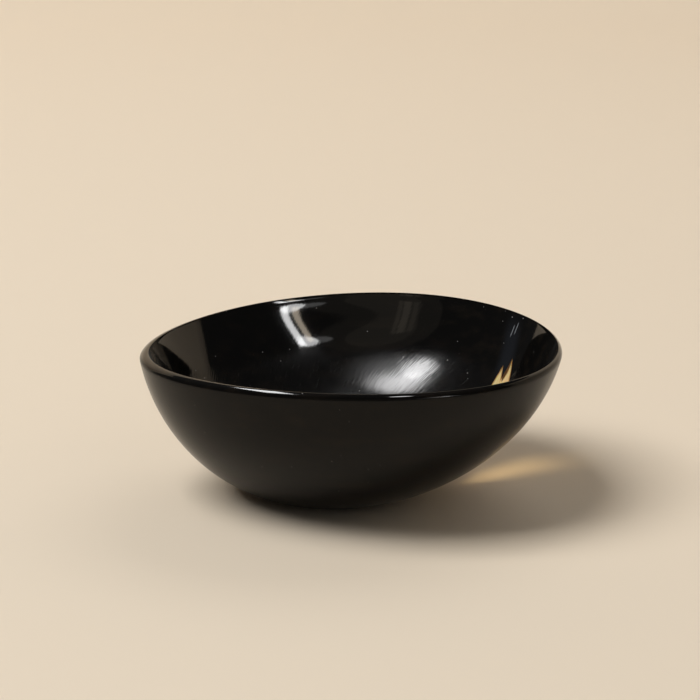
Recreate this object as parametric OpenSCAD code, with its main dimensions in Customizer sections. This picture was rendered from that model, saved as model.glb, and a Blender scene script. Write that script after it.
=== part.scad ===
// Horn bowl: an oval dish pressed and ground from one plate of dark horn.
// A pale streak of clear horn runs through the wall at the wide end.
// Millimetres. +X runs to the wide end, +Y to the back, +Z up.
// The origin is on the table, under the lowest point of the hollow.

/* [Rim] */
// Length of the bowl, from its narrow left end to its wide right end
bowl_length = 150; // [120:1:180]
// Width of the bowl, from front to back
bowl_width = 122; // [95:1:145]
// Height of the rim above the table, averaged round the bowl
rim_height = 55; // [45:0.5:70]
// How much the rim widens towards its right end, as a share of half its width
rim_taper = 0.11; // [0:0.01:0.2]
// Drop of the rim's two ends below its two long sides
rim_dip = 2.5; // [0:0.1:6]
// Rise of the rim from its left end to its right end
rim_end_rise = 2.3; // [-5:0.1:5]
// Distance from the lowest point of the hollow to the middle of the rim
rim_shift = 12.8; // [0:0.1:20]

/* [Wall] */
// Thickness of the wall, averaged round the rim
wall = 3.4; // [2.8:0.1:4.5]
// Extra wall at the left end, which the right end lacks
wall_swell = 1; // [0:0.1:1.2]
// Depth eased off the inside of the wall at the foot of the lip
lip_easing = 0.95; // [0:0.05:1]
// Height of the rounded lip on top of the wall
lip_height = 2.4; // [1.5:0.1:4]
// Share of the lip's thickness from its outer face to its crest
crest_ratio = 0.8; // [0.5:0.05:0.85]
// Thickness of the floor over the flat foot
floor_thickness = 3; // [2:0.1:6]
// Depth sanded off the round underside to make the flat foot
sanded_depth = 4; // [2:0.1:6]

/* [Profile] */
// Share of the radius along which the underside leaves its low point level
belly_ratio = 0.512; // [0.42:0.01:0.62]
// Share of the height along which the wall stands under the lip
stand_ratio = 0.555; // [0.42:0.01:0.68]
// Share of the radius by which that standing wall leans out
flare_ratio = 0.091; // [0.03:0.005:0.16]

/* [Pale streak] */
// Angle round the rim from the right end towards the back
streak_angle = 20; // [5:1:40]
// Height of the streak's middle above the table
streak_height = 20; // [17:0.5:26]
// Lean of the streak away from straight up the wall, towards the back
streak_lean = 16; // [0:1:30]
// Length of the long tongue
long_tongue_length = 47; // [35:1:50]
// Width of the long tongue
long_tongue_width = 8.4; // [5:0.2:12]
// Length of the short tongue beside it
short_tongue_length = 37; // [25:1:40]
// Width of the short tongue
short_tongue_width = 6; // [4:0.2:9]
// Distance between the middles of the two tongues
tongue_spacing = 3.8; // [3:0.1:6]
// Drop of the short tongue's tip below the long one's
tip_drop = 2.8; // [0:0.1:6]

/* [Hidden] */

DARK_HORN = [0.09, 0.08, 0.07];
PALE_HORN = [0.86, 0.68, 0.33];

segments = 96;
wall_steps = 24;
lip_steps = 4;
search_steps = 40;
// Half the step, in degrees and in profile share, over which slopes are taken
slope_step = 0.01;
profile_step = 0.0001;
// Handle length that makes a Bezier curve turn a quarter like an ellipse
quarter_handle = 0.5523;
// How fast the thick floor thins out towards the wall
floor_fade = 4;
// How fast the eased inside fades down the wall
easing_fade = 19;
// Reach of the cut that parts the streak from the shell, past both wall faces
cut_outside = 2;
cut_inside = 6 * wall;

// Cubic Bezier curve, for numbers or points
function bezier(a, b, c, d, t) =
    a * pow(1 - t, 3) + 3 * b * t * pow(1 - t, 2) + 3 * c * t * t * (1 - t) + d * pow(t, 3);

function unit(v) = v / norm(v);
function flat(v) = [v.x, v.y, 0];

// Plan and crest of the rim at an angle round the bowl
function rim_x(angle) = rim_shift + bowl_length / 2 * cos(angle);
function rim_y(angle) =
    bowl_width / 2 * sin(angle) * (1 + rim_taper * cos(angle)) / (1 + rim_taper * rim_taper / 2);
function crest(angle) = rim_height + rim_end_rise / 2 * cos(angle) - rim_dip / 2 * cos(2 * angle);

// Pressed profile from the low point at 0 to the lip's foot at 1
function reach(t) = bezier(0, belly_ratio, 1 - flare_ratio, 1, t);
function rise(t) = bezier(0, 0, 1 - stand_ratio, 1, t);

// Outer face of the dish, before its underside is sanded
function outer(angle, t) = [
    rim_x(angle) * reach(t),
    rim_y(angle) * reach(t),
    -sanded_depth + (crest(angle) - lip_height + sanded_depth) * rise(t)
];

// Directions on the outer face: round the bowl, up the wall and straight out of it
function round_bowl(angle, t) = outer(angle + slope_step, t) - outer(angle - slope_step, t);
function up_wall(angle, t) = unit(outer(angle, t + profile_step) - outer(angle, t - profile_step));
function outward(angle, t) = unit(cross(round_bowl(angle, t), up_wall(angle, t)));

// Wall thickness, which grows to the unsanded floor at the low point and is eased under the lip
function rim_wall(angle) = wall - wall_swell * cos(angle);
function thickness(angle, t) =
    rim_wall(angle)
    + (floor_thickness + sanded_depth - rim_wall(angle)) * pow(1 - pow(reach(t), 2), floor_fade)
    - lip_easing * pow(t, easing_fade);
function inner(angle, t) = outer(angle, t) - outward(angle, t) * thickness(angle, t);

// Profile share at which the outer face reaches a height, found by halving
function share_at(angle, height, low = 0, high = 1, steps = search_steps) =
    let (middle = (low + high) / 2)
    steps == 0 ? middle
    : outer(angle, middle).z < height ? share_at(angle, height, middle, high, steps - 1)
    : share_at(angle, height, low, middle, steps - 1);

// Rounded lip: a quarter turn from a wall face at 0 up to the crest at 1
function lip_crest(angle) =
    let (top = outer(angle, 1) + (inner(angle, 1) - outer(angle, 1)) * crest_ratio)
    [top.x, top.y, crest(angle)];
function lip_quarter(angle, face, q) =
    let (
        top = lip_crest(angle),
        up = up_wall(angle, 1),
        climb = quarter_handle * (top.z - face.z) / up.z
    )
    bezier(face, face + up * climb, top + quarter_handle * flat(face - top), top, q);

// Rings of points, from the foot's edge up the outside, over the lip and down the inside
function foot_point(angle) = flat(outer(angle, share_at(angle, 0)));
function outer_point(angle, step) =
    let (start = share_at(angle, 0))
    outer(angle, start + (1 - start) * step / wall_steps);
function lip_outer_point(angle, step) = lip_quarter(angle, outer(angle, 1), step / lip_steps);
function lip_inner_point(angle, step) = lip_quarter(angle, inner(angle, 1), step / lip_steps);
function inner_point(angle, step) = inner(angle, step / wall_steps);
angles = [for (i = [0:segments - 1]) 360 * i / segments];
foot_ring = [[for (a = angles) foot_point(a)]];
outer_rings = [for (step = [1:wall_steps]) [for (a = angles) outer_point(a, step)]];
lip_outer_rings = [for (step = [1:lip_steps]) [for (a = angles) lip_outer_point(a, step)]];
lip_inner_rings = [for (step = [lip_steps - 1:-1:0]) [for (a = angles) lip_inner_point(a, step)]];
inner_rings = [for (step = [wall_steps - 1:-1:1]) [for (a = angles) inner_point(a, step)]];
rings = concat(foot_ring, outer_rings, lip_outer_rings, lip_inner_rings, inner_rings);
ring_count = len(rings);
low_point = [0, 0, floor_thickness];

// Faces between the rings, the foot's flat and the fan round the low point
function at(ring, i) = ring * segments + i % segments;
dish_points = concat([for (ring = rings) each ring], [low_point]);
band_faces = [
    for (ring = [0:ring_count - 2], i = [0:segments - 1])
        each [
            [at(ring, i), at(ring + 1, i), at(ring + 1, i + 1)],
            [at(ring, i), at(ring + 1, i + 1), at(ring, i + 1)]
        ]
];
foot_face = [[for (i = [0:segments - 1]) i]];
floor_faces = [
    for (i = [0:segments - 1]) [at(ring_count - 1, i), ring_count * segments, at(ring_count - 1, i + 1)]
];

// Place and facing of the streak's middle on the outer face
streak_share = share_at(streak_angle, streak_height);
streak_middle = outer(streak_angle, streak_share);
streak_facing = outward(streak_angle, streak_share);
facing_climb = asin(streak_facing.z);
facing_bearing = atan2(streak_facing.y, streak_facing.x);
short_tongue_along = (long_tongue_length - short_tongue_length) / 2 - tip_drop;

// The whole bowl: dish, lip and flat foot in one closed shape
module whole_bowl() {
    polyhedron(points = dish_points, faces = concat(band_faces, foot_face, floor_faces), convexity = 4);
}

// Leaf with two pointed ends, where two circles cross
module tongue(length, width) {
    radius = (length * length + width * width) / (4 * width);
    intersection_for (side = [-1, 1])
        translate([side * (radius - width / 2), 0])
            circle(r = radius, $fn = 180);
}

// The two tongues side by side, seen square to the wall
module streak_outline() {
    tongue(long_tongue_length, long_tongue_width);
    translate([tongue_spacing, short_tongue_along])
        tongue(short_tongue_length, short_tongue_width);
}

// Block that takes in the full thickness of the wall where the streak runs
module streak_zone() {
    translate(streak_middle)
        rotate([90 - facing_climb, 0, facing_bearing + 90])
            rotate(-streak_lean)
                translate([0, 0, -cut_inside])
                    linear_extrude(height = cut_inside + cut_outside)
                        streak_outline();
}

// Dark opaque horn: the bowl without its clear streak
module dark_horn_shell() {
    color(DARK_HORN)
        difference() {
            whole_bowl();
            streak_zone();
        }
}

// Pale clear horn: the streak through the wall, flush on both faces
module pale_horn_streak() {
    color(PALE_HORN)
        intersection() {
            whole_bowl();
            streak_zone();
        }
}

dark_horn_shell();
pale_horn_streak();
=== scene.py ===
"""Looks of the horn bowl: polished dark horn with a pale translucent streak in its wall."""
import math

import bpy
import numpy as np
from mathutils import Matrix, Quaternion, Vector
from mathutils.bvhtree import BVHTree
from mathutils.geometry import barycentric_transform


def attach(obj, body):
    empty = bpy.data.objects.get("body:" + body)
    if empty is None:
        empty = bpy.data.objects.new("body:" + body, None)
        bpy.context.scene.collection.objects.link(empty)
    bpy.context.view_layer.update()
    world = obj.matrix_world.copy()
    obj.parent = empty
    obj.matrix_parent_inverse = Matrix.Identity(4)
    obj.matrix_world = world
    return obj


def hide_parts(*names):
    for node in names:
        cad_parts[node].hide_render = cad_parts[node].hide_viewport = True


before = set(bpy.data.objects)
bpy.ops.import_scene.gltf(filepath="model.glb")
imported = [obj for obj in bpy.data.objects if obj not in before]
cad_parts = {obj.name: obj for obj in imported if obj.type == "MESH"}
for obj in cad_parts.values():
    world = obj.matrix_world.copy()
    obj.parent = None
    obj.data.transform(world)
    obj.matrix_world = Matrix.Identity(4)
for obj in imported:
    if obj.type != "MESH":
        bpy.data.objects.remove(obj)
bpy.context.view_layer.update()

MM = 0.001

# Sizes of the bowl, the same as in its solid model
BOWL_LENGTH = 150 * MM
BOWL_WIDTH = 122 * MM
RIM_HEIGHT = 55 * MM
RIM_TAPER = 0.11
RIM_DIP = 2.5 * MM
RIM_END_RISE = 2.3 * MM
RIM_SHIFT = 12.8 * MM
WALL = 3.4 * MM
WALL_SWELL = 1.0 * MM
LIP_EASING = 0.95 * MM
EASING_FADE = 19
LIP_HEIGHT = 2.4 * MM
CREST_RATIO = 0.8
FLOOR_THICKNESS = 3 * MM
SANDED_DEPTH = 4 * MM
BELLY_RATIO = 0.512
STAND_RATIO = 0.555
FLARE_RATIO = 0.091
FLOOR_FADE = 4
QUARTER_HANDLE = 0.5523

# Small differences from the solid model, for the look of the reflections:
# easing at the two ends, a fuller left wall, a tighter turn outside the crest,
# and an inner face that runs up past the lip's foot
LEFT_EASING = -0.12 * MM
LEFT_FADE = -1.1
RIGHT_EASING = -0.25 * MM
LEFT_SWELL = 0.72 * MM
LEFT_SWELL_HEIGHT = 39.8 * MM
LEFT_SWELL_RISE = 7.4 * MM
CREST_HANDLE = 0.45
INNER_TOP = 1.016

# Slight twist in the inner face at the back, as hand grinding might leave
GRIND_ANGLE = math.radians(107)
GRIND_SPREAD = 0.3
GRIND_HEIGHT = 45 * MM
GRIND_RISE = 11 * MM
GRIND_SLOPE = 0.31

# Pale streak: two leaf-shaped tongues through the wall
STREAK_ANGLE = math.radians(20)
STREAK_HEIGHT = 20 * MM
STREAK_LEAN = math.radians(16)
LONG_TONGUE = (47 * MM, 8.4 * MM)
SHORT_TONGUE = (37 * MM, 6 * MM)
TONGUE_SPACING = 3.8 * MM
TIP_DROP = 2.8 * MM
LONG_TONGUE_PLACE = (0, 0)
SHORT_TONGUE_PLACE = (TONGUE_SPACING, (LONG_TONGUE[0] - SHORT_TONGUE[0]) / 2 - TIP_DROP)
CUT_OUTSIDE = 2 * MM
CUT_INSIDE = 6 * WALL

# Dark wedge between the tips of the tongues, painted on the streak
TONGUE_GAP = (14 * MM, 3.4 * MM)
TONGUE_GAP_PLACE = (1.6 * MM, 21.5 * MM)

# Fineness of the meshes
SEGMENTS = 288
WALL_STEPS = 96
LIP_STEPS = 12
LEAF_STEPS = 40
SEARCH_STEPS = 40

# Shares of the foot's size at which it has rings, and a first ring close above its edge
FOOT_RINGS = (0.35, 0.7, 0.985)
ABOVE_FOOT = 0.004

# How well a cut face has to agree with the bowl's normal to take it over
SMOOTH_AGREEMENT = 0.8

# Camera, with its aim and lens fitted to the outline of the bowl in the photograph
CAMERA_PLACE = (12.553 * MM, -871.475 * MM, 335.832 * MM)
CAMERA_TILT = math.radians(72)
CAMERA_LENS = 132.445
SENSOR_WIDTH = 36


# Shape of the bowl

def bezier(a, b, c, d, t):
    """Cubic Bezier curve, for numbers or points."""
    return a * (1 - t) ** 3 + 3 * b * t * (1 - t) ** 2 + 3 * c * t * t * (1 - t) + d * t ** 3


def unit(vectors):
    return vectors / np.linalg.norm(vectors, axis=-1, keepdims=True)


def reach(t):
    return bezier(0, BELLY_RATIO, 1 - FLARE_RATIO, 1, t)


def rise(t):
    return bezier(0, 0, 1 - STAND_RATIO, 1, t)


def crest(angle):
    return RIM_HEIGHT + RIM_END_RISE / 2 * np.cos(angle) - RIM_DIP / 2 * np.cos(2 * angle)


def outer(angle, t):
    """Outer face, before the underside is sanded: t runs from the low point to the lip's foot."""
    widening = (1 + RIM_TAPER * np.cos(angle)) / (1 + RIM_TAPER ** 2 / 2)
    x = (RIM_SHIFT + BOWL_LENGTH / 2 * np.cos(angle)) * reach(t)
    y = BOWL_WIDTH / 2 * np.sin(angle) * widening * reach(t)
    z = -SANDED_DEPTH + (crest(angle) - LIP_HEIGHT + SANDED_DEPTH) * rise(t)
    return np.stack(np.broadcast_arrays(x, y, z), -1)


def up_wall(angle, t, step=1e-4):
    return unit(outer(angle, t + step) - outer(angle, t - step))


def outward(angle, t, step=1e-4):
    around = outer(angle + step, t) - outer(angle - step, t)
    return unit(np.cross(around, up_wall(angle, t)))


def grinding(angle, t):
    """Depth ground off the inner face: a shallow twist, less than half a millimetre deep."""
    turn = angle - GRIND_ANGLE
    climb = outer(angle, t)[..., 2] - GRIND_HEIGHT
    fade = np.exp(-0.5 * (turn / GRIND_SPREAD) ** 2 - 0.5 * (climb / GRIND_RISE) ** 2)
    return GRIND_SLOPE * turn * climb * fade


def thickness(angle, t):
    wall = WALL - WALL_SWELL * np.cos(angle)
    floor = (FLOOR_THICKNESS + SANDED_DEPTH - wall) * (1 - reach(t) ** 2) ** FLOOR_FADE
    left = np.clip(-np.cos(angle), 0, 1) ** 2
    right = np.clip(np.cos(angle), 0, 1) ** 2
    easing = LIP_EASING + LEFT_EASING * left + RIGHT_EASING * right
    climb = outer(angle, t)[..., 2] - LEFT_SWELL_HEIGHT
    swell = LEFT_SWELL * np.exp(-0.5 * (climb / LEFT_SWELL_RISE) ** 2)
    eased = easing * t ** (EASING_FADE + LEFT_FADE * left)
    return wall + floor - eased + swell * left - grinding(angle, t)


def inner(angle, t):
    return outer(angle, t) - outward(angle, t) * thickness(angle, t)[..., None]


def share_at(angle, height):
    """Profile share at which the outer face reaches a height, found by halving."""
    low = np.zeros_like(angle)
    high = np.ones_like(angle)
    for _ in range(SEARCH_STEPS):
        middle = (low + high) / 2
        below = outer(angle, middle)[..., 2] < height
        low = np.where(below, middle, low)
        high = np.where(below, high, middle)
    return low


def lip_quarter(angle, face, q, handle=QUARTER_HANDLE):
    """Quarter turn of the lip, from a wall face at 0 up to the crest at 1."""
    one = np.ones_like(angle)
    top = outer(angle, one) + (inner(angle, one) - outer(angle, one)) * CREST_RATIO
    top[..., 2] = crest(angle)
    up = up_wall(angle, one)
    climb = QUARTER_HANDLE * (top[..., 2] - face[..., 2]) / up[..., 2]
    sideways = (face - top) * (1, 1, 0)
    return bezier(face, face + up * climb[..., None], top + handle * sideways, top, q)


def bowl_rings():
    """Rings of points from the foot's middle, up the outside, over the lip and down the inside."""
    angle = np.arange(SEGMENTS) * 2 * math.pi / SEGMENTS
    one = np.ones_like(angle)
    start = share_at(angle, 0.0)
    foot = outer(angle, start) * (1, 1, 0)
    rings = [foot * scale for scale in FOOT_RINGS]
    rings.append(foot)
    rings.append(outer(angle, start + (1 - start) * ABOVE_FOOT))
    rings += [outer(angle, start + (1 - start) * j / WALL_STEPS) for j in range(1, WALL_STEPS + 1)]
    outside = outer(angle, one)
    rings += [lip_quarter(angle, outside, j / LIP_STEPS, CREST_HANDLE) for j in range(1, LIP_STEPS + 1)]
    inside = inner(angle, one * INNER_TOP)
    rings += [lip_quarter(angle, inside, j / LIP_STEPS) for j in range(LIP_STEPS - 1, -1, -1)]
    rings += [inner(angle, one * INNER_TOP * j / WALL_STEPS) for j in range(WALL_STEPS - 1, 0, -1)]
    return rings


def make_mesh(name, points, faces):
    mesh = bpy.data.meshes.new(name)
    mesh.from_pydata(points, [], faces)
    mesh.validate()
    obj = bpy.data.objects.new(name, mesh)
    bpy.context.scene.collection.objects.link(obj)
    return obj


def make_whole_bowl():
    rings = bowl_rings()
    points = [tuple(p) for ring in rings for p in ring]
    last = len(rings) - 1
    foot_middle = len(points)
    low_point = foot_middle + 1
    points += [(0, 0, 0), (0, 0, FLOOR_THICKNESS)]
    faces = []
    for i in range(SEGMENTS):
        j = (i + 1) % SEGMENTS
        faces.append((foot_middle, j, i))
        for ring in range(last):
            a = ring * SEGMENTS
            b = a + SEGMENTS
            faces.append((a + i, a + j, b + j, b + i))
        faces.append((last * SEGMENTS + i, last * SEGMENTS + j, low_point))
    bowl = make_mesh("whole_bowl", points, faces)
    bowl.data.shade_smooth()
    return bowl


# The streak's own frame: across the tongues, along them and out of the wall

def streak_frame():
    angle = np.array(STREAK_ANGLE)
    share = share_at(angle, STREAK_HEIGHT)
    facing = Vector(outward(angle, share))
    climb = math.asin(facing.z)
    bearing = math.atan2(facing.y, facing.x)
    quarter = math.pi / 2
    turn = Matrix.Rotation(bearing + quarter, 4, "Z") @ Matrix.Rotation(quarter - climb, 4, "X")
    lean = Matrix.Rotation(-STREAK_LEAN, 4, "Z")
    return Matrix.Translation(Vector(outer(angle, share))) @ turn @ lean


def leaf_outline(length, width, middle):
    """Leaf with two pointed ends, made of two arcs."""
    radius = (length ** 2 + width ** 2) / (4 * width)
    half_turn = math.asin(length / 2 / radius)
    turns = [half_turn * (2 * k / LEAF_STEPS - 1) for k in range(LEAF_STEPS)]
    right = [(radius * math.cos(a) - radius + width / 2, radius * math.sin(a)) for a in turns]
    outline = right + [(-x, -y) for x, y in right]
    return [(x + middle[0], y + middle[1]) for x, y in outline]


def make_prism(name, outline, place):
    count = len(outline)
    points = [place @ Vector((x, y, z)) for z in (-CUT_INSIDE, CUT_OUTSIDE) for x, y in outline]
    faces = [tuple(range(count - 1, -1, -1)), tuple(range(count, 2 * count))]
    faces += [(i, (i + 1) % count, count + (i + 1) % count, count + i) for i in range(count)]
    return make_mesh(name, points, faces)


def apply_boolean(obj, cutter, operation):
    modifier = obj.modifiers.new("cut", "BOOLEAN")
    modifier.operation = operation
    modifier.object = cutter
    modifier.solver = "EXACT"
    bpy.context.view_layer.update()
    result = bpy.data.meshes.new_from_object(obj.evaluated_get(bpy.context.evaluated_depsgraph_get()))
    obj.modifiers.clear()
    obj.data = result


def keep_smooth_normals(piece, whole):
    """Gives a cut piece the whole bowl's normals, so that no seam shows where it was cut."""
    whole.data.calc_loop_triangles()
    corners = [v.co.copy() for v in whole.data.vertices]
    normals = [v.normal.copy() for v in whole.data.vertices]
    triangles = [tuple(t.vertices) for t in whole.data.loop_triangles]
    tree = BVHTree.FromPolygons(corners, triangles)
    mesh = piece.data
    mesh.shade_smooth()
    on_bowl = {}
    for vertex in mesh.vertices:
        place, _, index, _ = tree.find_nearest(vertex.co)
        a, b, c = triangles[index]
        blended = barycentric_transform(
            place, corners[a], corners[b], corners[c], normals[a], normals[b], normals[c])
        on_bowl[vertex.index] = blended.normalized()
    split = [None] * len(mesh.loops)
    for face in mesh.polygons:
        for corner in face.loop_indices:
            smooth = on_bowl[mesh.loops[corner].vertex_index]
            split[corner] = smooth if smooth.dot(face.normal) > SMOOTH_AGREEMENT else face.normal.copy()
    mesh.normals_split_custom_set(split)


def copy_of(obj, name):
    twin = obj.copy()
    twin.data = obj.data.copy()
    twin.name = name
    bpy.context.scene.collection.objects.link(twin)
    return twin


# Node helpers

class Nodes:
    """Adds nodes to a material and links them, with values given by socket name or number."""

    def __init__(self, name):
        self.material = bpy.data.materials.new(name)
        self.material.use_nodes = True
        self.tree = self.material.node_tree
        self.tree.nodes.clear()

    def add(self, kind, inputs=None, **settings):
        made = self.tree.nodes.new("ShaderNode" + kind)
        for key, value in settings.items():
            setattr(made, key, value)
        for key, value in (inputs or {}).items():
            if isinstance(value, bpy.types.NodeSocket):
                self.tree.links.new(value, made.inputs[key])
            else:
                made.inputs[key].default_value = value
        return made

    def math(self, operation, a, b=0.0, c=0.0):
        return self.add("Math", {0: a, 1: b, 2: c}, operation=operation).outputs[0]

    def vector(self, operation, a, b=(0, 0, 0), scale=1.0):
        made = self.add("VectorMath", {0: a, 1: b, 3: scale}, operation=operation)
        return made.outputs["Value" if operation == "DOT_PRODUCT" else "Vector"]

    def ramp(self, value, low, high, to_low=0.0, to_high=1.0):
        """Smooth step of a value from one range to another."""
        made = self.add(
            "MapRange",
            {"Value": value, "From Min": low, "From Max": high, "To Min": to_low, "To Max": to_high},
            interpolation_type="SMOOTHSTEP")
        return made.outputs["Result"]

    def noise(self, vector, scale, detail=2.0, roughness=0.5):
        inputs = {"Vector": vector, "Scale": scale, "Detail": detail, "Roughness": roughness}
        return self.add("TexNoise", inputs).outputs[0]

    def mix(self, factor, a, b):
        """Blend of two colours."""
        made = self.add("Mix", {0: factor, 6: a, 7: b}, data_type="RGBA")
        return made.outputs[2]

    def finish(self, shader):
        self.add("OutputMaterial", {"Surface": shader})
        return self.material


# Places on the bowl that its materials are drawn by

BOWL_MIDDLE = (8 * MM, 0, 0)
INSIDE_EDGE = 0.3


def bowl_coordinates(nodes):
    """Object place, height, direction from the bowl's axis, and how far a face is the inner one."""
    place = nodes.add("TexCoord").outputs["Object"]
    height = nodes.add("SeparateXYZ", {0: place}).outputs["Z"]
    level = nodes.vector("MULTIPLY", nodes.vector("SUBTRACT", place, BOWL_MIDDLE), (1, 1, 0))
    bearing = nodes.vector("NORMALIZE", level)
    normal = nodes.add("NewGeometry").outputs["Normal"]
    facing_out = nodes.vector("DOT_PRODUCT", normal, bearing)
    facing_up = nodes.add("SeparateXYZ", {0: normal}).outputs["Z"]
    inside = nodes.ramp(nodes.math("SUBTRACT", facing_out, facing_up), INSIDE_EDGE, -INSIDE_EDGE)
    return place, height, bearing, inside


def depth_under_crest(nodes, place):
    """How far a place near the rim lies under the lip's crest."""
    parts = nodes.add("SeparateXYZ", {0: place})
    cosine = nodes.math("DIVIDE", nodes.math("SUBTRACT", parts.outputs["X"], RIM_SHIFT), BOWL_LENGTH / 2)
    square = nodes.math("MULTIPLY", cosine, cosine)
    crest_height = nodes.math("MULTIPLY_ADD", cosine, RIM_END_RISE / 2, RIM_HEIGHT + RIM_DIP / 2)
    crest_height = nodes.math("MULTIPLY_ADD", square, -RIM_DIP, crest_height)
    return nodes.math("SUBTRACT", crest_height, parts.outputs["Z"])


def stretched(nodes, bearing, height, around, upward):
    """Coordinates for grain on the wall: repeats per radian round the bowl and per metre up it."""
    ring = nodes.vector("SCALE", bearing, scale=around)
    climb = nodes.add("CombineXYZ", {"Z": nodes.math("MULTIPLY", height, upward)}).outputs[0]
    return nodes.vector("ADD", ring, climb)


def streak_coordinates(nodes, place):
    """Place in the streak's frame, in millimetres: across, along and out of the wall."""
    spot = streak_frame()
    mapping = nodes.add("Mapping", {
        "Vector": place,
        "Location": spot.to_translation(),
        "Rotation": spot.to_euler("XYZ"),
        "Scale": (MM, MM, MM)}, vector_type="TEXTURE")
    return mapping.outputs[0]


# Materials: colours

BLACK_HORN = (0.0027, 0.0025, 0.0023, 1)
BROWN_HORN = (0.0075, 0.0057, 0.0042, 1)
HAZE = (0.0110, 0.0120, 0.0145, 1)
DUST = (0.28, 0.27, 0.26, 1)
PALE_AMBER = (0.80, 0.61, 0.29, 1)
DEEP_AMBER = (0.42, 0.17, 0.035, 1)
LIGHT_THROUGH = (1.0, 0.86, 0.60, 1)
SCRATCH = (0.20, 0.21, 0.22, 1)
SHEEN_TINT = (1.0, 0.92, 0.80, 1)

# Polish, with a mirror-like lip and inner rim
HORN_IOR = 1.27
POLISH_IOR = 1.6
POLISH = 0.5
POLISH_ROUGHNESS = 0.045
SHEEN = 0.12
SHEEN_ROUGHNESS = 0.25
MIRROR_ROUGHNESS = 0.07
LIP_MIRROR = (1.0 * MM, 1.7 * MM)
OUTSIDE_ROUGHER = 0.17

# Brushed zone, which begins at a height on the inner wall and is full at another
BRUSHED_HEIGHT = (39 * MM, 33 * MM)
BRUSHED_ROUGHER = 0.15
LEAST_ROUGHNESS = 0.03

# Strokes up and round the bowl, by their repeats per radian round it and per metre up it,
# then their twist, the heights where they begin and are full, and their strength
UP_STROKES = (95, 260)
ROUND_STROKES = (3, 2200)
STROKE_TWIST = 12.0
STROKES_HEIGHT = (5 * MM, 16 * MM)
POLISHED_STROKES = 0.15
OUTSIDE_STROKES = 0.2
STROKE_ROUGHNESS = 0.25
STROKE_BUMP = 0.8
STROKE_DEPTH = 0.04 * MM

# Grain and dust of the dark horn
GRAIN_STRETCH = (40, 260, 260)
GRAIN_RANGE = (0.45, 0.75)
DUST_SCALE = 300.0
DUST_SIZE = 0.09
DUST_CORE = 0.4
DUST_LEFT_OUT = 0.6
DUST_OUTSIDE = 0.25

# Haze and scratches above the streak, in millimetres across and along it
HAZE_MIDDLE = 3.0
HAZE_WIDTH = (5.5, 1.0)
HAZE_START = (12.0, 20.0)
HAZE_END = (40.0, 30.0)
SCRATCHES = ((3.3, 32.5), (1.5, 33.5))
SCRATCH_SLOPE = -0.3
SCRATCH_WIDTH = (0.28, 0.12)
SCRATCH_LENGTH = (2.4, 1.2)

# Fibres and soft edges of the pale horn, in millimetres across and along the streak
FIBRE_STRETCH = (1.6, 0.09, 0.5)
FIBRE_SWAY = 1.2
FIBRE_SWAY_ALONG = 2.0
FIBRE_RANGE = (0.3, 0.55)
FIBRE_PALE = 0.75
CLEAR_EDGE = (-0.3, 0.3)
PALE_EDGE = (0.0, 0.8)
GAP_EDGE = (-0.3, 0.5)
GAP_CLEAR = 0.25

# Light that spreads in the pale horn, and the share of lamplight that it lets through
SUBSURFACE = 0.5
SUBSURFACE_RADIUS = (1.0, 0.55, 0.2)
SUBSURFACE_SCALE = 3 * MM
LIGHT_SHARE = 0.78


def horn_finish(nodes, place, height, bearing, inside):
    """Roughness and bump of polished horn: mirror-like near the rim, brushed lower down."""
    brushed_inside = nodes.ramp(height, *BRUSHED_HEIGHT)
    inside_rough = nodes.math("MULTIPLY_ADD", brushed_inside, BRUSHED_ROUGHER, MIRROR_ROUGHNESS)
    below_lip = nodes.ramp(depth_under_crest(nodes, place), *LIP_MIRROR)
    outside_rough = nodes.math("MULTIPLY_ADD", below_lip, OUTSIDE_ROUGHER, MIRROR_ROUGHNESS)
    rough = nodes.add("Mix", {0: inside, 2: outside_rough, 3: inside_rough}).outputs[0]

    twist = nodes.add("VectorRotate", {
        "Vector": bearing, "Angle": nodes.math("MULTIPLY", height, STROKE_TWIST)}, rotation_type="Z_AXIS")
    up_lines = nodes.noise(stretched(nodes, twist.outputs[0], height, *UP_STROKES), 1.0, detail=1)
    round_lines = nodes.noise(stretched(nodes, bearing, height, *ROUND_STROKES), 1.0, detail=4)
    lines = nodes.add("Mix", {0: inside, 2: round_lines, 3: up_lines}).outputs[0]
    on_wall = nodes.ramp(height, *STROKES_HEIGHT)
    brushing = nodes.ramp(brushed_inside, 0.0, 1.0, POLISHED_STROKES, 1.0)
    inside_depth = nodes.math("MULTIPLY", brushing, on_wall)
    line_depth = nodes.add("Mix", {0: inside, 2: OUTSIDE_STROKES, 3: inside_depth}).outputs[0]
    unevenness = nodes.math("MULTIPLY", nodes.math("SUBTRACT", lines, 0.5), line_depth)
    rough = nodes.math("MULTIPLY_ADD", unevenness, STROKE_ROUGHNESS, rough)
    rough = nodes.math("MAXIMUM", rough, LEAST_ROUGHNESS)
    bump = nodes.add("Bump", {"Strength": STROKE_BUMP, "Distance": STROKE_DEPTH, "Height": unevenness})
    polish = nodes.math("MULTIPLY", inside, POLISH)
    return rough, bump.outputs[0], polish


def dust_specks(nodes, place):
    """Mask of a few tiny specks, one at most in each cell."""
    cells = nodes.add("TexVoronoi", {"Vector": place, "Scale": DUST_SCALE})
    near = nodes.ramp(cells.outputs["Distance"], DUST_SIZE, DUST_SIZE * DUST_CORE)
    pick = nodes.add("SeparateColor", {0: cells.outputs["Color"]}).outputs[0]
    return nodes.math("MULTIPLY", near, nodes.math("GREATER_THAN", pick, DUST_LEFT_OUT))


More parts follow.
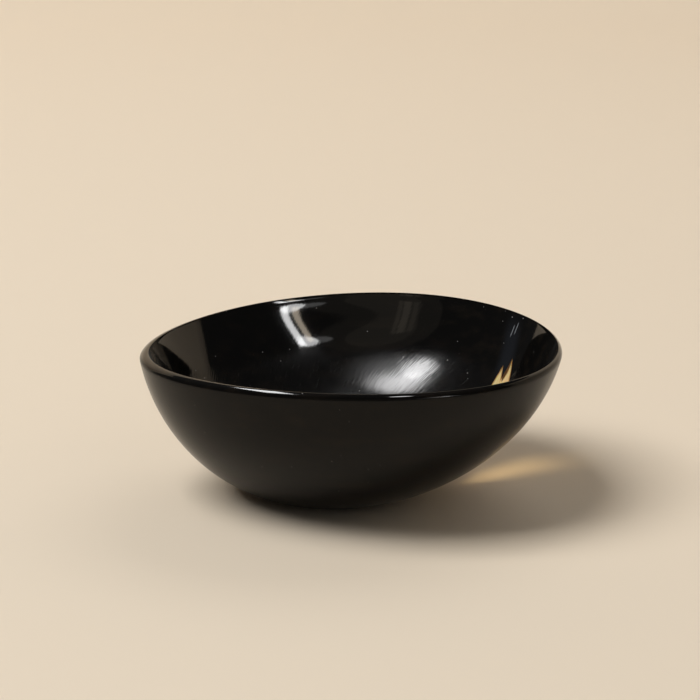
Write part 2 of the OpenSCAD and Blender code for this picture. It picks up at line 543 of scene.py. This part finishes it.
def principled(nodes, colour, roughness, normal, polish, **sockets):
    inputs = {
        "Base Color": colour, "Roughness": roughness, "Normal": normal, "IOR": HORN_IOR,
        "Coat Weight": polish, "Coat IOR": POLISH_IOR, "Coat Roughness": POLISH_ROUGHNESS,
        "Coat Normal": normal,
        "Sheen Weight": SHEEN, "Sheen Roughness": SHEEN_ROUGHNESS, "Sheen Tint": SHEEN_TINT}
    inputs.update({name.replace("_", " "): value for name, value in sockets.items()})
    return nodes.add("BsdfPrincipled", inputs).outputs[0]


def dark_colour(nodes, place, inside):
    """Near-black horn with brown grain, and with haze and scratches above the streak."""
    grain = nodes.noise(nodes.vector("MULTIPLY", place, GRAIN_STRETCH), 1.0, detail=5)
    horn = nodes.mix(nodes.ramp(grain, *GRAIN_RANGE), BLACK_HORN, BROWN_HORN)
    local = nodes.add("SeparateXYZ", {0: streak_coordinates(nodes, place)})
    across = local.outputs["X"]
    along = local.outputs["Y"]
    beside = nodes.ramp(nodes.math("ABSOLUTE", nodes.math("SUBTRACT", across, HAZE_MIDDLE)), *HAZE_WIDTH)
    above = nodes.math("MULTIPLY", nodes.ramp(along, *HAZE_START), nodes.ramp(along, *HAZE_END))
    haze = nodes.math("MULTIPLY", nodes.math("MULTIPLY", beside, above), inside)
    horn = nodes.mix(haze, horn, HAZE)
    for middle_across, middle_along in SCRATCHES:
        start = middle_across - SCRATCH_SLOPE * middle_along
        drift = nodes.math("MULTIPLY_ADD", along, SCRATCH_SLOPE, start)
        aside = nodes.math("ABSOLUTE", nodes.math("SUBTRACT", across, drift))
        away = nodes.math("ABSOLUTE", nodes.math("SUBTRACT", along, middle_along))
        thin = nodes.ramp(aside, *SCRATCH_WIDTH)
        near = nodes.ramp(away, *SCRATCH_LENGTH)
        scratch = nodes.math("MULTIPLY", nodes.math("MULTIPLY", thin, near), inside)
        horn = nodes.mix(scratch, horn, SCRATCH)
    return horn


def dark_horn_material():
    nodes = Nodes("dark_horn")
    place, height, bearing, inside = bowl_coordinates(nodes)
    rough, normal, polish = horn_finish(nodes, place, height, bearing, inside)
    colour = dark_colour(nodes, place, inside)
    dust_share = nodes.ramp(inside, 0.0, 1.0, DUST_OUTSIDE, 1.0)
    dust = nodes.math("MULTIPLY", dust_specks(nodes, place), dust_share)
    colour = nodes.mix(dust, colour, DUST)
    return nodes.finish(principled(nodes, colour, rough, normal, polish))


def leaf_margin(nodes, across, along, size, middle):
    """Distance in millimetres inside the edge of a tongue, negative outside it."""
    length = size[0] / MM
    width = size[1] / MM
    offset = nodes.math("ABSOLUTE", nodes.math("SUBTRACT", across, middle[0] / MM))
    share = nodes.math("DIVIDE", nodes.math("SUBTRACT", along, middle[1] / MM), length / 2)
    arc = nodes.math("SUBTRACT", 1.0, nodes.math("MULTIPLY", share, share))
    return nodes.math("SUBTRACT", nodes.math("MULTIPLY", arc, width / 2), offset)


def pale_horn_material():
    nodes = Nodes("pale_horn")
    place, height, bearing, inside = bowl_coordinates(nodes)
    rough, normal, polish = horn_finish(nodes, place, height, bearing, inside)
    dark = dark_colour(nodes, place, inside)

    local = streak_coordinates(nodes, place)
    parts = nodes.add("SeparateXYZ", {0: local})
    fibres = nodes.noise(nodes.vector("MULTIPLY", local, FIBRE_STRETCH), 1.0, detail=4)
    sway = nodes.math("MULTIPLY", nodes.math("SUBTRACT", fibres, 0.5), FIBRE_SWAY)
    across = nodes.math("ADD", parts.outputs["X"], sway)
    along = nodes.math("MULTIPLY_ADD", sway, FIBRE_SWAY_ALONG, parts.outputs["Y"])
    long_margin = leaf_margin(nodes, across, along, LONG_TONGUE, LONG_TONGUE_PLACE)
    short_margin = leaf_margin(nodes, across, along, SHORT_TONGUE, SHORT_TONGUE_PLACE)
    margin = nodes.math("MAXIMUM", long_margin, short_margin)
    gap = nodes.ramp(leaf_margin(nodes, across, along, TONGUE_GAP, TONGUE_GAP_PLACE), *GAP_EDGE)
    beside_gap = nodes.ramp(gap, 0.0, 1.0, 1.0, GAP_CLEAR)
    clear = nodes.math("MULTIPLY", nodes.ramp(margin, *CLEAR_EDGE), beside_gap)
    pale = nodes.math("MULTIPLY", nodes.ramp(margin, *PALE_EDGE), nodes.math("SUBTRACT", 1.0, gap))

    amber = nodes.mix(pale, DEEP_AMBER, PALE_AMBER)
    streaks = nodes.ramp(fibres, *FIBRE_RANGE, FIBRE_PALE, 1.0)
    amber = nodes.mix(streaks, DEEP_AMBER, amber)
    colour = nodes.mix(clear, dark, amber)
    horn = principled(
        nodes, colour, rough, normal, polish,
        Subsurface_Weight=SUBSURFACE, Subsurface_Radius=SUBSURFACE_RADIUS,
        Subsurface_Scale=SUBSURFACE_SCALE)
    through = nodes.add("BsdfTransparent", {"Color": LIGHT_THROUGH})
    from_lamp = nodes.add("LightPath").outputs["Is Shadow Ray"]
    share = nodes.math("MULTIPLY", from_lamp, nodes.math("MULTIPLY", clear, LIGHT_SHARE))
    return nodes.finish(nodes.add("MixShader", {0: share, 1: horn, 2: through.outputs[0]}).outputs[0])


# Pieces of the bowl

whole = make_whole_bowl()
spot = streak_frame()
long_prism = make_prism("long_prism", leaf_outline(*LONG_TONGUE, LONG_TONGUE_PLACE), spot)
short_prism = make_prism("short_prism", leaf_outline(*SHORT_TONGUE, SHORT_TONGUE_PLACE), spot)
apply_boolean(long_prism, short_prism, "UNION")

shell = copy_of(whole, "dark_shell")
apply_boolean(shell, long_prism, "DIFFERENCE")
streak = copy_of(whole, "pale_streak")
apply_boolean(streak, long_prism, "INTERSECT")
for piece in (shell, streak):
    keep_smooth_normals(piece, whole)
for scrap in (whole, long_prism, short_prism):
    bpy.data.objects.remove(scrap)

shell.data.materials.clear()
shell.data.materials.append(dark_horn_material())
streak.data.materials.clear()
streak.data.materials.append(pale_horn_material())

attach(shell, "root")
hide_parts("dark_horn_shell")
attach(streak, "root")
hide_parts("pale_horn_streak")


# Floor, lamps and camera

FLOOR_COLOUR = (0.785, 0.676, 0.536, 1)
WHITE = (1, 1, 1)
BEIGE = (1.0, 0.86, 0.68)
WORLD_COLOUR = (1.0, 0.98, 0.95, 1)
FLOOR_DROP = 0.1 * MM
FLOOR_REACH = 3.0
FLOOR_ROUGHNESS = 0.9
FLOOR_ANGLES = range(-90, 270, 3)
SWEEP_START = 0.9
SWEEP_RADIUS = 0.4
SWEEP_TOP = 1.0
SWEEP_STEPS = 30
SWEEP_FROM = -3
SWEEP_TO = 144
SWEEP_FADE = 6
AIM = Vector((12 * MM, 0, 30 * MM))
BRUSHED_SPOT = Vector((35 * MM, 45 * MM, 28 * MM))
SATIN_DISTANCE = 0.15
SATIN_GRID = 56
SOFT_STEPS = 4
SOFT_GAP = 1 * MM


def sweep_share(degrees):
    """How far the floor is swept up at an angle: behind the bowl and to its right, not in front."""
    inside = min(degrees - SWEEP_FROM, SWEEP_TO - degrees) / SWEEP_FADE + 1
    share = min(max(inside, 0), 1)
    return share * share * (3 - 2 * share)


def sweep_point(step):
    """Distance from the bowl and height of the swept floor, at steps past its flat."""
    quarter = SWEEP_RADIUS * math.pi / 2
    along = (quarter + SWEEP_TOP - SWEEP_RADIUS) * step / SWEEP_STEPS
    turn = min(along, quarter) / SWEEP_RADIUS
    upright = max(along - quarter, 0)
    return SWEEP_START + SWEEP_RADIUS * math.sin(turn), SWEEP_RADIUS * (1 - math.cos(turn)) + upright


def make_floor():
    """Pale floor that curves up into a backdrop at the back and the right."""
    points = [(0, 0, -FLOOR_DROP)]
    for step in range(SWEEP_STEPS + 1):
        distance, height = sweep_point(step)
        level = SWEEP_START + (FLOOR_REACH - SWEEP_START) * step / SWEEP_STEPS
        for degrees in FLOOR_ANGLES:
            share = sweep_share(degrees)
            out = level + (distance - level) * share
            x = out * math.cos(math.radians(degrees))
            y = out * math.sin(math.radians(degrees))
            points.append((x, y, height * share - FLOOR_DROP))
    count = len(FLOOR_ANGLES)
    faces = []
    for i in range(count):
        j = (i + 1) % count
        faces.append((0, 1 + i, 1 + j))
        for step in range(SWEEP_STEPS):
            a = 1 + step * count
            b = a + count
            faces.append((a + i, b + i, b + j, a + j))
    floor = make_mesh("floor", points, faces)
    floor.data.shade_smooth()
    nodes = Nodes("pale_floor")
    shader = nodes.add("BsdfPrincipled", {"Base Color": FLOOR_COLOUR, "Roughness": FLOOR_ROUGHNESS})
    floor.data.materials.append(nodes.finish(shader.outputs[0]))


def add_lamp(name, azimuth, elevation, distance, size, radiance,
             shape="ELLIPSE", tint=WHITE, lean=0.0, aim=AIM, grid=None):
    """Lamp that faces a spot, placed by its direction; its size is in degrees across and up.

    A grid, in degrees, keeps its light to a cone, at the same radiance straight ahead.
    """
    lamp = bpy.data.lights.new(name, "AREA")
    lamp.shape = shape
    lamp.size = 2 * distance * math.tan(math.radians(size[0] / 2))
    lamp.size_y = 2 * distance * math.tan(math.radians(size[1] / 2))
    area = lamp.size * lamp.size_y * (math.pi / 4 if shape == "ELLIPSE" else 1)
    lamp.energy = radiance * math.pi * area
    lamp.color = tint
    if grid:
        half = math.radians(grid / 2)
        lamp.spread = 2 * half
        lamp.energy *= 1 - half / math.tan(half)
    obj = bpy.data.objects.new(name, lamp)
    level = math.cos(math.radians(elevation))
    away = Vector((
        level * math.cos(math.radians(azimuth)),
        level * math.sin(math.radians(azimuth)),
        math.sin(math.radians(elevation))))
    obj.location = aim + away * distance
    turn = away.to_track_quat("Z", "Y") @ Quaternion((0, 0, 1), math.radians(lean))
    obj.rotation_euler = turn.to_euler()
    bpy.context.scene.collection.objects.link(obj)
    return obj


def add_gleam(name, **settings):
    """Lamp that shows only as a reflection, and adds no light to colours or shadows."""
    lamp = add_lamp(name, **settings)
    lamp.visible_diffuse = False
    lamp.visible_camera = False
    return lamp


def add_soft_gleam(name, distance, size, radiance, softness, **settings):
    """Gleam with a soft edge: lamps of growing size, one behind the other."""
    for k in range(SOFT_STEPS):
        scale = 1 + softness * (2 * k / (SOFT_STEPS - 1) - 1)
        grown = (size[0] * scale, size[1] * scale)
        behind = distance + k * SOFT_GAP
        add_gleam(f"{name}_{k}", distance=behind, size=grown, radiance=radiance / SOFT_STEPS, **settings)


def make_world(strength):
    world = bpy.data.worlds.new("studio")
    world.use_nodes = True
    background = world.node_tree.nodes["Background"]
    background.inputs["Color"].default_value = WORLD_COLOUR
    background.inputs["Strength"].default_value = strength
    bpy.context.scene.world = world


def make_camera():
    lens = bpy.data.cameras.new("camera")
    lens.lens = CAMERA_LENS
    lens.sensor_width = SENSOR_WIDTH
    lens.sensor_fit = "HORIZONTAL"
    camera = bpy.data.objects.new("camera", lens)
    camera.location = CAMERA_PLACE
    camera.rotation_euler = (CAMERA_TILT, 0, 0)
    bpy.context.scene.collection.objects.link(camera)
    bpy.context.scene.camera = camera


make_floor()
key = add_lamp(
    "key", azimuth=-169, elevation=57.6, distance=3.0, size=(25, 35), radiance=10.5, shape="RECTANGLE")
key.visible_glossy = False
for name, azimuth, radiance in (("back_fill", 60, 1.5), ("front_fill", -40, 0.3)):
    fill = add_lamp(name, azimuth, elevation=40, distance=2.5, size=(50, 50), radiance=radiance)
    fill.visible_glossy = False

# Highlight in the brushed zone
for name, azimuth, elevation, size, radiance, softness in (
        ("satin_gleam", -122.5, 53.2, (22, 9.5), 19, 0.25),
        ("satin_tip", -129.0, 45.8, (14, 9), 24, 0.2),
        ("satin_fringe", -109, 46.5, (20, 11), 2.6, 0.6)):
    add_soft_gleam(
        name, azimuth=azimuth, elevation=elevation, distance=SATIN_DISTANCE, size=size,
        radiance=radiance, softness=softness, aim=BRUSHED_SPOT, grid=SATIN_GRID)

# Highlights on the front lip
add_gleam(
    "left_lip_gleam", azimuth=148, elevation=64, distance=1.5, size=(30, 8), radiance=15,
    shape="RECTANGLE", lean=24)
add_gleam("right_lip_gleam", azimuth=-66, elevation=68, distance=1.5, size=(8, 8), radiance=26)

# Window, mirrored by the back wall
add_gleam(
    "window_gleam", azimuth=-51.2, elevation=17.8, distance=1.2, size=(3.2, 10.2), radiance=14,
    shape="RECTANGLE", lean=13)
add_gleam(
    "window_frame", azimuth=-56.2, elevation=17.0, distance=1.2, size=(2.9, 8), radiance=6,
    shape="RECTANGLE", tint=BEIGE, lean=13)
add_gleam("window_glow", azimuth=-55.8, elevation=21.0, distance=1.2, size=(10, 4.6), radiance=10)
add_gleam("window_tail", azimuth=-63.5, elevation=20.2, distance=1.2, size=(10, 3.4), radiance=1.0)

# Faint stripes and glow of a room, mirrored by the back wall
for k, (azimuth, width, radiance) in enumerate((
        (-101.5, 2.2, 0.2),
        (-105.5, 4.0, 0.32),
        (-110.5, 3.0, 0.16))):
    add_gleam(
        f"wall_gleam_{k}", azimuth=azimuth, elevation=19, distance=1.4, size=(width, 8),
        radiance=radiance, shape="RECTANGLE", tint=BEIGE)
for name, distance, size, radiance in (
        ("room_gleam", 1.6, (36, 16), 0.09),
        ("wide_room_gleam", 1.7, (62, 24), 0.08)):
    add_gleam(
        name, azimuth=-95, elevation=22, distance=distance, size=size, radiance=radiance, tint=BEIGE)

make_world(strength=0.05)
make_camera()
bpy.context.scene.view_settings.view_transform = "Standard"
